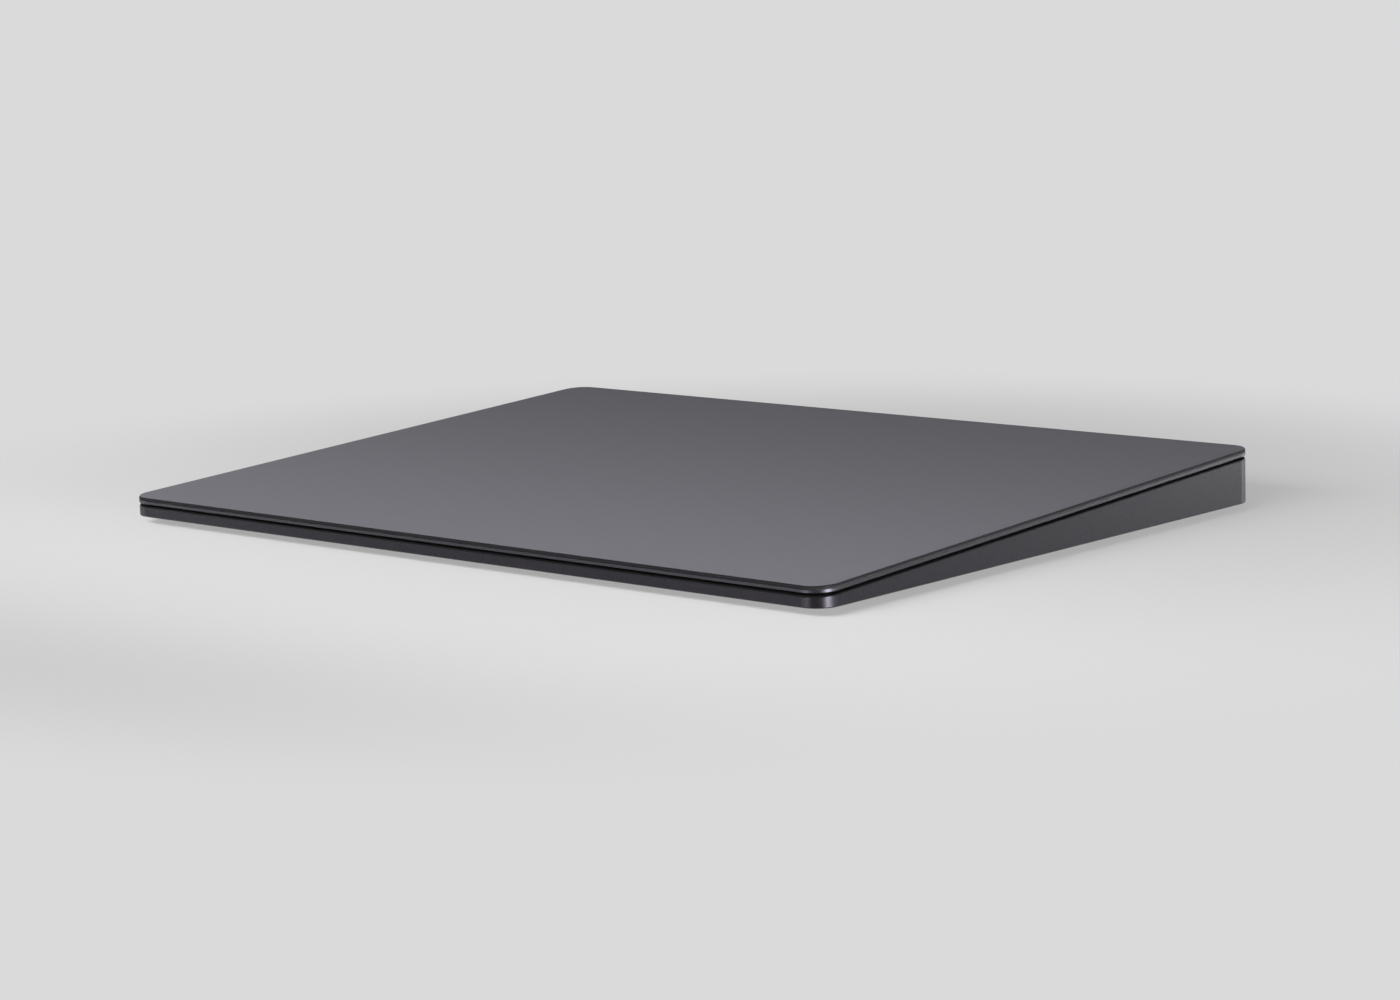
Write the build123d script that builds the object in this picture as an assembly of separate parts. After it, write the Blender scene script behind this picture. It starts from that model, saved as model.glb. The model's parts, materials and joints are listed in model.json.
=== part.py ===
from build123d import *
from math import atan, cos, sin, tan
import os

# Slim wedge trackpad. X runs to the right, Y to the rear and Z up. The origin is on the desk, under
# the middle of the case. The touch surface falls towards the user. All lengths are in millimetres.

# Overall outline and slope
width = 160.0
depth = 114.9
rise = 6.0
corner_radius = 4.0

# Heights from the desk up to the floor inside the frame
foot_stand = 0.9
cover_thickness = 0.5
cover_glue = 0.1
floor_thickness = 0.6
front_room = 0.2

# Layers under the touch surface, measured square to it
glass_thickness = 0.5
glass_glue = 0.05
sensor_thickness = 0.6
stiffener_glue = 0.05
stiffener_thickness = 0.65
gel_thickness = 0.35
blade_thickness = 0.4
nut_height = 0.5
seat_thickness = 0.6

# Touch plate
glass_top_chamfer = 0.16
seam_chamfer = 0.06
glass_glue_inset = 0.15
rim_height = 0.6
rim_width = 2.1
rim_lower_chamfer = 0.1
sensor_gap = 0.2
sensor_corner_radius = 3.0
stiffener_edge_gap = 0.5
stiffener_glue_inset = 0.5
stiffener_window_gap = 0.6
gap_height = 0.46

# Frame
wall_thickness = 1.8
rim_chamfer = 0.15
foot_edge_chamfer = 0.15
overrun = 1.0

# Bottom cover and feet
cover_inset = 3.0
cover_corner_radius = 2.5
cover_edge_round = 0.3
cover_glue_inset = 0.3
cover_glue_width = 6.0
foot_radius = 5.0
foot_inset = 11.0
foot_recess = 0.3
foot_gap = 0.1
foot_round = 0.3

# Spring blades that carry the touch plate
blade_width = 5.0
blade_length = 12.0
blade_side_inset = 18.0
pad_end_inset = 9.45
pad_width = 4.4
pad_length = 5.0
pad_round = 0.8
nut_radius = 1.7
boss_wall = 1.05
gauge_width = 2.6
gauge_length = 4.0
gauge_thickness = 0.12

# Screws
shank_radius = 0.7
thread_gap = 0.03
shank_clearance = 0.15
head_radius = 1.4
head_height = 0.45
head_round = 0.15
head_clearance = 0.15
drive_radius = 0.6
drive_depth = 0.22
blade_screw_set_back = 0.05
standoff_radius = 2.0
standoff_height = 1.0
blind_depth = 0.25
shank_end_gap = 0.05

# Logic board and what it carries
logic_thickness = 0.8
logic_edge_gap = 1.1
logic_side_room = 12.2
logic_corner_radius = 1.0
front_margin = 0.8
row_gap = 1.3
rear_margin = 0.5
logic_screw_inset = 2.2
socket_depth = 3.0
socket_height = 0.9
socket_step = 0.3
touch_socket_width = 14.0
touch_socket_offset = 24.0
battery_socket_width = 8.0
battery_socket_offset = 20.0
haptic_socket_width = 7.0
processor_size = 5.4
processor_height = 0.85
power_chip_size = 4.0
power_chip_height = 0.8
chip_gap = 5.0
chip_chamfer = 0.12
radio_length = 12.0
radio_depth = 5.4
radio_height = 1.5
radio_wall = 0.15
radio_module_gap = 0.5
radio_module_height = 1.0
antenna_length = 12.0
antenna_depth = 3.0
antenna_height = 2.6
antenna_inset = 2.0
antenna_flex_margin = 0.4

# Battery
battery_depth = 42.0
battery_gap = 1.0
battery_glue = 0.1
battery_glue_inset = 4.0
battery_swell_gap = 0.6
battery_round = 1.0
battery_board_width = 60.0
battery_board_depth = 4.0
battery_board_thickness = 0.5
battery_board_inset = 1.4

# Flat cables
flex_thickness = 0.12
flex_bend = 0.4
touch_flex_width = 12.0
touch_flex_fold = 2.0
battery_flex_width = 6.0
haptic_flex_width = 5.0
flex_side_gap = 2.2
flex_rise_gap = 0.6
flex_lead = 2.5

# Haptic motor
bracket_rail = 1.8
bracket_standoff_gap = 1.3
bracket_thickness = 0.5
bracket_corner_radius = 1.5
bracket_screw_inset = 3.0
haptic_gap = 2.0
yoke_floor_gap = 0.2
yoke_lap = 1.0
pole_count = 4
pole_width = 6.0
pole_depth = 10.0
pole_pitch = 11.0
pole_round = 0.5
coil_wall = 1.8
coil_gap = 0.1
coil_round = 1.2
coil_room = 0.15
window_gap = 0.3
magnetic_gap = 0.4
attraction_thickness = 0.6
attraction_width = 44.0
attraction_depth = 14.0
attraction_slot = 2.0

# Chips under the sensor board
touch_chip_size = 7.0
touch_chip_height = 0.8
touch_chip_pitch = 16.0
touch_chip_offset = 18.0

# Charging port
port_width = 8.94
port_height = 3.2
port_wall = 0.3
port_length = 7.35
port_set_back = 0.1
port_gap = 0.1
port_mouth_chamfer = 0.2
port_block_depth = 1.6
tongue_width = 6.7
tongue_thickness = 0.7
tongue_set_back = 1.2
contact_count = 12
contact_pitch = 0.5
contact_width = 0.25
contact_thickness = 0.05
contact_length = 3.2
contact_set_back = 0.4

# Power switch
slot_length = 7.6
slot_height = 2.6
slot_chamfer = 0.15
switch_inset = 10.0
knob_length = 4.2
knob_side_gap = 0.15
knob_end_gap = 0.2
knob_set_back = 0.1
rib_count = 3
rib_pitch = 0.8
rib_groove = 0.25
rib_depth = 0.15
carrier_thickness = 0.45
carrier_wall_gap = 0.25
carrier_height = 3.8
carrier_lap = 0.6
indicator_gap = 0.25
indicator_thickness = 0.12
indicator_lap = 0.2
housing_length = 9.0
housing_depth = 4.0
housing_height = 3.2
housing_set_back = 0.4
lever_width = 1.2
lever_height = 1.0
lever_gap = 0.2
lever_reach = 2.4

# Levels worked out from the layers
slope = atan(rise / depth)
frame_bottom = foot_stand + cover_thickness + cover_glue
floor_z = frame_bottom + floor_thickness
sensor_inset = rim_width + sensor_gap
stiffener_inset = wall_thickness + stiffener_edge_gap
sensor_top = glass_thickness + glass_glue
sensor_under = sensor_top + sensor_thickness
stiffener_top = sensor_under + stiffener_glue
ceiling_depth = stiffener_top + stiffener_thickness
blade_top = ceiling_depth + gel_thickness
blade_under = blade_top + blade_thickness
nut_under = blade_under + nut_height
seat_under = nut_under + seat_thickness
wall_top_depth = sensor_top + rim_height + gap_height
front_height = floor_z + front_room + blade_under / cos(slope)
rear_height = front_height + rise
middle_height = (front_height + rear_height) / 2
touch_frame = Plane(
    origin=(0, 0, middle_height), x_dir=(1, 0, 0), z_dir=(0, -sin(slope), cos(slope))
).location

# Places worked out from the walls inwards
inside_x = width / 2 - wall_thickness
inside_y = depth / 2 - wall_thickness
logic_half = inside_x - logic_side_room
logic_depth = front_margin + socket_depth + row_gap + radio_depth + rear_margin
logic_rear = inside_y - logic_edge_gap
logic_front = logic_rear - logic_depth
logic_under = floor_z + standoff_height
logic_top = logic_under + logic_thickness
front_row = logic_front + front_margin + socket_depth / 2
rear_row = logic_rear - rear_margin - radio_depth / 2
boss_radius = head_radius + head_clearance + boss_wall
blade_x = width / 2 - blade_side_inset
battery_half = blade_x - boss_radius - haptic_flex_width - 2 * flex_side_gap
battery_rear = logic_front - battery_gap
battery_front = battery_rear - battery_depth
battery_base = floor_z + battery_glue
coil_width = pole_width + 2 * (coil_gap + coil_wall)
coil_depth = pole_depth + 2 * (coil_gap + coil_wall)
core_span = (pole_count - 1) * pole_pitch
window_width = core_span + coil_width + 2 * window_gap
window_depth = coil_depth + 2 * window_gap
bracket_screw_x = window_width / 2 + yoke_lap + standoff_radius + bracket_standoff_gap
bracket_width = 2 * (bracket_screw_x + bracket_screw_inset)
bracket_depth = window_depth + 2 * bracket_rail
bracket_top = logic_under + bracket_thickness
haptic_y = battery_front - haptic_gap - bracket_depth / 2
haptic_flex_x = battery_half + flex_side_gap + haptic_flex_width / 2
pole_top_depth = ceiling_depth + attraction_thickness + magnetic_gap
pad_y = depth / 2 - pad_end_inset
blade_foot_y = pad_y - blade_length
port_z = logic_top + port_height / 2
switch_x = logic_half - switch_inset
switch_travel = slot_length - knob_length - 2 * knob_end_gap
knob_x = switch_x - switch_travel / 2
carrier_rear = inside_y - carrier_wall_gap
carrier_front = carrier_rear - carrier_thickness
standoff_shank = standoff_height + bracket_thickness + blind_depth - shank_end_gap

sides = (-1, 1)
logic_screws = [(side * (logic_half - logic_screw_inset), front_row) for side in sides] + [(0, front_row)]
bracket_screws = [
    (
        side * bracket_screw_x,
        haptic_y + end * (bracket_depth / 2 - bracket_screw_inset),
    )
    for side in sides
    for end in sides
]
blade_places = [(side * blade_x, end) for end in sides for side in sides]


def surface_z(y, below):
    """Height of the plane that lies below under the touch surface, at y."""
    return middle_height + y * tan(slope) - below / cos(slope)


battery_thickness = surface_z(battery_front, ceiling_depth) - battery_base - battery_swell_gap
battery_top = battery_base + battery_thickness
coil_top = surface_z(haptic_y - coil_depth / 2, pole_top_depth) - coil_room


def prism(sketch, low, high):
    """Upright prism of a flat shape between two heights."""
    return extrude(Pos(0, 0, low) * sketch, amount=high - low)


def under_touch(sketch, near, far):
    """Prism square to the touch surface, between two depths under it."""
    return extrude(touch_frame * Pos(0, 0, -far) * sketch, amount=far - near)


def block(x, y, z):
    """Box between pairs of lowest and highest x, y and z."""
    size = Box(x[1] - x[0], y[1] - y[0], z[1] - z[0])
    return Pos((x[0] + x[1]) / 2, (y[0] + y[1]) / 2, (z[0] + z[1]) / 2) * size


def rear_prism(sketch, x, z, front, rear):
    """Prism that runs to the rear, of a shape drawn in X and Z."""
    face = Plane(origin=(x, rear, z), x_dir=(1, 0, 0), z_dir=(0, -1, 0)).location
    return extrude(face * sketch, amount=rear - front)


def ribbon(points, across, ribbon_width):
    """Flat cable along a bent line, ribbon_width wide in the direction across."""
    path = FilletPolyline(*points, radius=flex_bend)
    start = Plane(origin=path @ 0, x_dir=across, z_dir=path % 0)
    return sweep(start * Rectangle(ribbon_width, flex_thickness), path=path)


def group(solids):
    """Several separate solids as one piece."""
    return Compound(children=[shape.solid() for shape in solids])


def above_touch(below):
    """Everything over the plane that lies below under the touch surface."""
    tall = 2 * rear_height
    return under_touch(Rectangle(2 * width, 2 * depth), below - tall, below)


# Touch plate


def lift(face):
    """How far a face looks up, from -1 for a face that looks down to 1."""
    return face.normal_at().Z


def full_slab(near, far, top_chamfer, lower_chamfer):
    """Slab as large as the frame, with upright edges, between two depths under the touch surface."""
    outline = RectangleRounded(width, depth, corner_radius)
    slab = prism(outline, 0, 2 * rear_height) - above_touch(near)
    slab &= above_touch(far)
    slab = chamfer(slab.faces().sort_by(lift)[-1].edges(), top_chamfer)
    return chamfer(slab.faces().sort_by(lift)[0].edges(), lower_chamfer)


def inset_outline(inset, radius):
    """Outline of a sheet that stands back from the frame's outline by inset."""
    return RectangleRounded(width - 2 * inset, depth - 2 * inset, radius)


def touch_glass():
    """Frosted glass as large as the frame, with ground edges."""
    return full_slab(0, glass_thickness, glass_top_chamfer, seam_chamfer)


def plate_rim():
    """Metal ring under the glass's edge, round the sensor board."""
    ring = full_slab(sensor_top, sensor_top + rim_height, seam_chamfer, rim_lower_chamfer)
    hole = inset_outline(rim_width, corner_radius - rim_width)
    return ring - prism(hole, 0, 2 * rear_height)


def glass_adhesive():
    sheet = inset_outline(glass_glue_inset, corner_radius - glass_glue_inset)
    return under_touch(sheet, glass_thickness, sensor_top)


def sensor_board():
    return under_touch(inset_outline(sensor_inset, sensor_corner_radius), sensor_top, sensor_under)


def stiffener_windows():
    """Windows that let the sensor board's chips and socket through the stiffener."""
    x, y = touch_chip_offset + touch_chip_pitch / 2, touch_chip_y()
    across = touch_chip_pitch + touch_chip_size + 2 * stiffener_window_gap
    along = touch_chip_size + 2 * stiffener_window_gap
    chips = Pos(x, y) * Rectangle(across, along)
    across = touch_socket_width + 2 * stiffener_window_gap
    along = socket_depth + 2 * stiffener_window_gap
    return chips + Pos(-touch_socket_offset, touch_socket_y()) * Rectangle(across, along)


def stiffener_adhesive():
    inset = stiffener_inset + stiffener_glue_inset
    sheet = inset_outline(inset, sensor_corner_radius) - stiffener_windows()
    return under_touch(sheet, sensor_under, stiffener_top)


def stiffener_plate():
    """Steel sheet under the sensor board, which keeps the glass flat."""
    sheet = inset_outline(stiffener_inset, sensor_corner_radius) - stiffener_windows()
    return under_touch(sheet, stiffener_top, ceiling_depth)


def attraction_plate():
    """Slotted steel plate that the motor's poles pull sideways."""
    sheet = Rectangle(attraction_width, attraction_depth)
    cut = Rectangle(attraction_slot, pole_depth)
    for gap in range(pole_count - 1):
        sheet -= Pos((gap + 1) * pole_pitch - core_span / 2 - pole_pitch / 2, 0) * cut
    low, high = ceiling_depth, ceiling_depth + attraction_thickness
    return under_touch(Pos(0, haptic_y / cos(slope)) * sheet, low, high)


def touch_chip_y():
    """Middle of the controller chips along the touch surface, in the deep rear half."""
    return (battery_rear - touch_chip_size) / cos(slope)


def touch_chips():
    """Two controller chips under the sensor board."""
    places = [touch_chip_offset + number * touch_chip_pitch for number in range(2)]
    square = Rectangle(touch_chip_size, touch_chip_size)
    far = sensor_under + touch_chip_height
    return group(under_touch(Pos(x, touch_chip_y()) * square, sensor_under, far) for x in places)


def touch_socket_y():
    """Middle of the upper socket along the touch surface, just ahead of the logic board."""
    return (battery_rear - socket_depth) / cos(slope)


def touch_socket_upper():
    body = Rectangle(touch_socket_width, socket_depth)
    place = Pos(-touch_socket_offset, touch_socket_y())
    return under_touch(place * body, sensor_under, sensor_under + socket_height)


# Spring blades, pads and gauges


def blade(place):
    """Spring steel blade with its pressed-in nut at the foot and its free end over the pad."""
    x, end = place
    middle = (blade_foot_y + pad_y) / 2
    bar = Pos(x, end * middle) * SlotCenterToCenter(blade_length, blade_width, rotation=90)
    foot = Pos(x, end * blade_foot_y)
    spring = under_touch(bar, blade_top, blade_under)
    spring += under_touch(foot * Circle(nut_radius), blade_under, nut_under)
    return spring - under_touch(foot * Circle(shank_radius + thread_gap), blade_top, nut_under)


def gel_pads():
    pad = RectangleRounded(pad_width, pad_length, pad_round)
    places = [Pos(x, end * pad_y) for x, end in blade_places]
    return group(under_touch(place * pad, ceiling_depth, blade_top) for place in places)


def strain_gauges():
    film = Rectangle(gauge_width, gauge_length)
    middle = (blade_foot_y + pad_y) / 2
    places = [Pos(x, end * middle) for x, end in blade_places]
    far = blade_under + gauge_thickness
    return group(under_touch(place * film, blade_under, far) for place in places)


def blade_screw(place):
    """Screw that goes up through the frame's boss into the blade's nut."""
    x, end = place
    foot = Pos(x, end * blade_foot_y)
    head_end = seat_under + head_height
    screw = under_touch(foot * Circle(shank_radius), blade_top + blade_screw_set_back, seat_under)
    screw += under_touch(foot * Circle(head_radius), seat_under, head_end)
    drive = foot * RegularPolygon(drive_radius, 6)
    return screw - under_touch(drive, head_end - drive_depth, head_end)


# Frame, cover and feet


def frame_shell():
    """Wedge-shaped tray: walls cut level with the gap under the glass, and a floor."""
    outline = RectangleRounded(width, depth, corner_radius)
    shell = prism(outline, frame_bottom, 2 * rear_height) - above_touch(wall_top_depth)
    shell = chamfer(shell.faces().sort_by(Axis.Z)[-1].edges(), rim_chamfer)
    shell = chamfer(shell.faces().sort_by(Axis.Z)[0].edges(), foot_edge_chamfer)
    hollow = RectangleRounded(2 * inside_x, 2 * inside_y, corner_radius - wall_thickness)
    return shell - prism(hollow, floor_z, 2 * rear_height)


def blade_boss(place):
    """Boss under a blade's foot, square to the touch surface."""
    x, end = place
    foot = Pos(x, end * blade_foot_y)
    boss = under_touch(foot * Circle(boss_radius), nut_under, 2 * rear_height)
    return boss & prism(Rectangle(width, depth), frame_bottom, rear_height)


def blade_boss_bore(place):
    """Screw hole and head recess, cut up into a boss from below."""
    x, end = place
    foot = Pos(x, end * blade_foot_y)
    bore = under_touch(foot * Circle(shank_radius + shank_clearance), nut_under - overrun, seat_under)
    recess = under_touch(foot * Circle(head_radius + head_clearance), seat_under, 2 * rear_height)
    return bore + recess


def rear_opening(sketch, x, z, lip):
    """Opening through the rear wall with a chamfered mouth."""
    wall_rear = depth / 2
    hole = rear_prism(sketch, x, z, inside_y - overrun, wall_rear)
    mouth = hole.faces().sort_by(Axis.Y)[-1]
    face = Plane(origin=(x, wall_rear, z), x_dir=(1, 0, 0), z_dir=(0, -1, 0)).location
    flare = loft([face * offset(sketch, lip).face(), face * Pos(0, 0, lip) * sketch.face()])
    return extrude(mouth, amount=overrun) + hole + flare


def case_frame():
    frame = frame_shell()
    for place in blade_places:
        frame += blade_boss(place)
    for place in blade_places:
        frame -= blade_boss_bore(place)
    for x, y in logic_screws + bracket_screws:
        frame += prism(Pos(x, y) * Circle(standoff_radius), floor_z, logic_under)
        thread = Pos(x, y) * Circle(shank_radius + thread_gap)
        frame -= prism(thread, floor_z - blind_depth, logic_under)
    port = SlotOverall(port_width + 2 * port_gap, port_height + 2 * port_gap)
    frame -= rear_opening(port, 0, port_z, port_mouth_chamfer)
    frame -= rear_opening(SlotOverall(slot_length, slot_height), switch_x, port_z, slot_chamfer)
    return frame


def foot_places():
    x, y = width / 2 - foot_inset, depth / 2 - foot_inset
    return [(side * x, end * y) for side in sides for end in sides]


def bottom_cover():
    """Thin plate glued under the frame, with shallow seats for the feet."""
    outline = RectangleRounded(width - 2 * cover_inset, depth - 2 * cover_inset, cover_corner_radius)
    cover = prism(outline, foot_stand, foot_stand + cover_thickness)
    cover = fillet(cover.faces().sort_by(Axis.Z)[0].edges(), cover_edge_round)
    for x, y in foot_places():
        seat = Pos(x, y) * Circle(foot_radius + foot_gap)
        cover -= prism(seat, foot_stand, foot_stand + foot_recess)
    return cover


def cover_adhesive():
    """Ring of glue along the cover's edge."""
    inset = cover_inset + cover_glue_inset
    outer = RectangleRounded(width - 2 * inset, depth - 2 * inset, cover_corner_radius)
    hole = inset + cover_glue_width
    inner = Rectangle(width - 2 * hole, depth - 2 * hole)
    return prism(outer - inner, foot_stand + cover_thickness, frame_bottom)


def rubber_feet():
    feet = []
    for x, y in foot_places():
        foot = prism(Pos(x, y) * Circle(foot_radius), 0, foot_stand + foot_recess)
        feet.append(fillet(foot.edges().group_by(Axis.Z)[0], foot_round))
    return group(feet)


# Battery


def battery_pouch():
    pouch = block(
        (-battery_half, battery_half), (battery_front, battery_rear), (battery_base, battery_top)
    )
    return fillet(pouch.edges(), battery_round)


def battery_adhesive():
    x = battery_half - battery_glue_inset
    y = (battery_front + battery_glue_inset, battery_rear - battery_glue_inset)
    return block((-x, x), y, (floor_z, battery_base))


def battery_board_y():
    """Front and rear edge of the protection board that lies on the pouch."""
    rear = battery_rear - battery_board_inset
    return rear - battery_board_depth, rear


def battery_board():
    half = battery_board_width / 2
    return block((-half, half), battery_board_y(), (battery_top, battery_top + battery_board_thickness))


def battery_flex():
    """Short ribbon from the protection board down to the logic board."""
    x = battery_socket_offset
    high = battery_top + battery_board_thickness + flex_thickness / 2
    low = logic_top + socket_height + flex_thickness / 2
    start = sum(battery_board_y()) / 2
    bend = battery_rear + battery_gap / 2
    points = [(x, start, high), (x, bend, high), (x, bend + flex_bend, low), (x, front_row, low)]
    return ribbon(points, (1, 0, 0), battery_flex_width)


# Logic board and what it carries


def logic_board():
    outline = RectangleRounded(2 * logic_half, logic_depth, logic_corner_radius)
    board = prism(Pos(0, (logic_front + logic_rear) / 2) * outline, logic_under, logic_top)
    for x, y in logic_screws:
        board -= prism(Pos(x, y) * Circle(shank_radius + shank_clearance), logic_under, logic_top)
    return board


def standoff_screw(place, seat):
    """Pan-head screw whose head rests at seat and whose shank goes down into a standoff."""
    x, y = place
    head = prism(Pos(x, y) * Circle(head_radius), seat, seat + head_height)
    head = fillet(head.edges().group_by(Axis.Z)[-1], head_round)
    shank = prism(Pos(x, y) * Circle(shank_radius), seat - standoff_shank, seat)
    drive = Pos(x, y) * RegularPolygon(drive_radius, 6)
    return head + shank - prism(drive, seat + head_height - drive_depth, seat + head_height)


def pan_screws():
    logic = [standoff_screw(place, logic_top) for place in logic_screws]
    return group(logic + [standoff_screw(place, bracket_top) for place in bracket_screws])


def chip(x, size, height):
    """Square chip in the rear row of the logic board."""
    half = size / 2
    body = block((x - half, x + half), (rear_row - half, rear_row + half), (logic_top, logic_top + height))
    return chamfer(body.faces().sort_by(Axis.Z)[-1].edges(), chip_chamfer)


def socket(x, across):
    """Low board-to-flex socket in the front row, with a stepped front lip."""
    half = across / 2
    y = (front_row - socket_depth / 2, front_row + socket_depth / 2)
    body = block((x - half, x + half), y, (logic_top, logic_top + socket_height))
    lip = (y[1] - socket_step, y[1])
    step = (logic_top + socket_height - socket_step, logic_top + socket_height)
    return body - block((x - half, x + half), lip, step)


def radio_x():
    """Middle of the radio can, left of the port."""
    return -(port_width / 2 + chip_gap + radio_length / 2)


def radio_shield():
    """Pressed steel can, open below, over the radio module."""
    x, half = radio_x(), radio_length / 2
    y = (rear_row - radio_depth / 2, rear_row + radio_depth / 2)
    can = block((x - half, x + half), y, (logic_top, logic_top + radio_height))
    can = chamfer(can.faces().sort_by(Axis.Z)[-1].edges(), radio_wall)
    inner = half - radio_wall
    inner_y = (y[0] + radio_wall, y[1] - radio_wall)
    top = logic_top + radio_height - radio_wall
    return can - block((x - inner, x + inner), inner_y, (logic_top, top))


def radio_module():
    x = radio_x()
    half = radio_length / 2 - radio_module_gap
    deep = radio_depth / 2 - radio_module_gap
    z = (logic_top, logic_top + radio_module_height)
    return block((x - half, x + half), (rear_row - deep, rear_row + deep), z)


def processor_chip():
    x = radio_x() - radio_length / 2 - chip_gap - processor_size / 2
    return chip(x, processor_size, processor_height)


def power_chips():
    first = port_width / 2 + chip_gap + power_chip_size / 2
    places = [first, first + power_chip_size + chip_gap]
    return group(chip(x, power_chip_size, power_chip_height) for x in places)


def antenna_box():
    """Lowest and highest x, y and z of the antenna's plastic carrier."""
    left = -logic_half + antenna_inset
    y = (rear_row - antenna_depth / 2, rear_row + antenna_depth / 2)
    return (left, left + antenna_length), y, (logic_top, logic_top + antenna_height)


def antenna_carrier():
    carrier = block(*antenna_box())
    return chamfer(carrier.faces().sort_by(Axis.Z)[-1].edges(), chip_chamfer)


def antenna_flex():
    """Film on the carrier's top face."""
    x, y, z = antenna_box()
    margin = antenna_flex_margin
    film_x = (x[0] + margin, x[1] - margin)
    film_y = (y[0] + margin, y[1] - margin)
    return block(film_x, film_y, (z[1], z[1] + flex_thickness))


def touch_flex():
    """Ribbon with one fold, from the sensor board's socket back and down to the logic board."""
    x = -touch_socket_offset
    below = sensor_under + socket_height + flex_thickness / 2
    low = logic_top + socket_height + flex_thickness / 2
    start = battery_rear - socket_depth
    fold = battery_rear + touch_flex_fold
    bend = battery_rear + battery_gap / 2
    points = [
        (x, start, surface_z(start, below)),
        (x, fold, surface_z(fold, below)),
        (x, bend, low),
        (x, front_row, low),
    ]
    return ribbon(points, (1, 0, 0), touch_flex_width)


# Haptic motor


def haptic_bracket():
    plate = RectangleRounded(bracket_width, bracket_depth, bracket_corner_radius)
    plate -= Rectangle(window_width, window_depth)
    bracket = prism(Pos(0, haptic_y) * plate, logic_under, bracket_top)
    for x, y in bracket_screws:
        bracket -= prism(Pos(x, y) * Circle(shank_radius + shank_clearance), logic_under, bracket_top)
    return bracket


def pole_places():
    return [number * pole_pitch - core_span / 2 for number in range(pole_count)]


def haptic_core():
    """Steel yoke under the bracket with poles that rise through its window."""
    yoke = Rectangle(window_width + 2 * yoke_lap, window_depth + 2 * yoke_lap)
    core = prism(Pos(0, haptic_y) * yoke, floor_z + yoke_floor_gap, logic_under)
    for x in pole_places():
        pole = RectangleRounded(pole_width, pole_depth, pole_round)
        tall = prism(Pos(x, haptic_y) * pole, logic_under, rear_height)
        core += tall - above_touch(pole_top_depth)
    return core


def haptic_coils():
    ring = RectangleRounded(coil_width, coil_depth, coil_round)
    ring -= RectangleRounded(pole_width + 2 * coil_gap, pole_depth + 2 * coil_gap, pole_round)
    places = [Pos(x, haptic_y) for x in pole_places()]
    return group(prism(place * ring, logic_under, coil_top) for place in places)


def haptic_flex():
    """Ribbon from the bracket, down to the floor, round the battery and up to the logic board."""
    middle = flex_thickness / 2
    half = haptic_flex_width / 2
    drop = bracket_width / 2 + flex_rise_gap
    start = window_width / 2 + flex_rise_gap
    high = bracket_top + middle
    low = floor_z + middle
    down = [
        (start, haptic_y, high),
        (drop, haptic_y, high),
        (drop, haptic_y, low),
        (drop + flex_lead, haptic_y, low),
    ]
    up_y = logic_front - flex_rise_gap
    top = logic_top + socket_height + middle
    up = [
        (haptic_flex_x, up_y - flex_lead, low),
        (haptic_flex_x, up_y, low),
        (haptic_flex_x, up_y, top),
        (haptic_flex_x, front_row, top),
    ]
    flat_z = (floor_z, floor_z + flex_thickness)
    outer = haptic_flex_x + half
    flex = block((drop + flex_lead, outer), (haptic_y - half, haptic_y + half), flat_z)
    flex += block((haptic_flex_x - half, outer), (haptic_y - half, up_y - flex_lead), flat_z)
    flex += ribbon(down, (0, 1, 0), haptic_flex_width)
    return flex + ribbon(up, (1, 0, 0), haptic_flex_width)


# Charging port


def port_front():
    """Where the port's shell ends inside the case."""
    return depth / 2 - port_set_back - port_length


def port_shell():
    outer = SlotOverall(port_width, port_height)
    inner = SlotOverall(port_width - 2 * port_wall, port_height - 2 * port_wall)
    return rear_prism(outer - inner, 0, port_z, port_front(), depth / 2 - port_set_back)


def port_tongue():
    """Insulating block at the shell's inner end with the tongue that carries the contacts."""
    inner = SlotOverall(port_width - 2 * port_wall, port_height - 2 * port_wall)
    block_rear = port_front() + port_block_depth
    tip = depth / 2 - port_set_back - tongue_set_back
    tongue = rear_prism(Rectangle(tongue_width, tongue_thickness), 0, port_z, block_rear, tip)
    body = rear_prism(inner, 0, port_z, port_front(), block_rear) + tongue
    return chamfer(body.faces().sort_by(Axis.Y)[-1].edges().filter_by(Axis.X), contact_thickness)


def port_contacts():
    """Two rows of contact strips, on the tongue's upper and lower face."""
    rear = depth / 2 - port_set_back - tongue_set_back - contact_set_back
    strip = Rectangle(contact_width, contact_thickness)
    offset_z = (tongue_thickness + contact_thickness) / 2
    strips = []
    for number in range(contact_count):
        x = (number - (contact_count - 1) / 2) * contact_pitch
        for face in sides:
            z = port_z + face * offset_z
            strips.append(rear_prism(strip, x, z, rear - contact_length, rear))
    return group(strips)


# Power switch


def switch_housing():
    """Switch body on the logic board, with a slot for the lever."""
    rear = logic_rear - housing_set_back
    y = (rear - housing_depth, rear)
    half = housing_length / 2
    body = block((switch_x - half, switch_x + half), y, (logic_top, logic_top + housing_height))
    reach = (switch_travel + lever_width) / 2 + lever_gap
    high = lever_height / 2 + lever_gap
    slot_y = (carrier_front - lever_reach - lever_gap, rear)
    return body - block((switch_x - reach, switch_x + reach), slot_y, (port_z - high, port_z + high))


def switch_lever():
    half = lever_width / 2
    high = lever_height / 2
    y = (carrier_front - lever_reach, carrier_front)
    return block((knob_x - half, knob_x + half), y, (port_z - high, port_z + high))


def switch_carrier():
    """Plate behind the wall that closes the slot at both ends of the travel."""
    half = slot_length / 2 + switch_travel / 2 + carrier_lap
    high = carrier_height / 2
    y = (carrier_front, carrier_rear)
    return block((knob_x - half, knob_x + half), y, (port_z - high, port_z + high))


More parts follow.
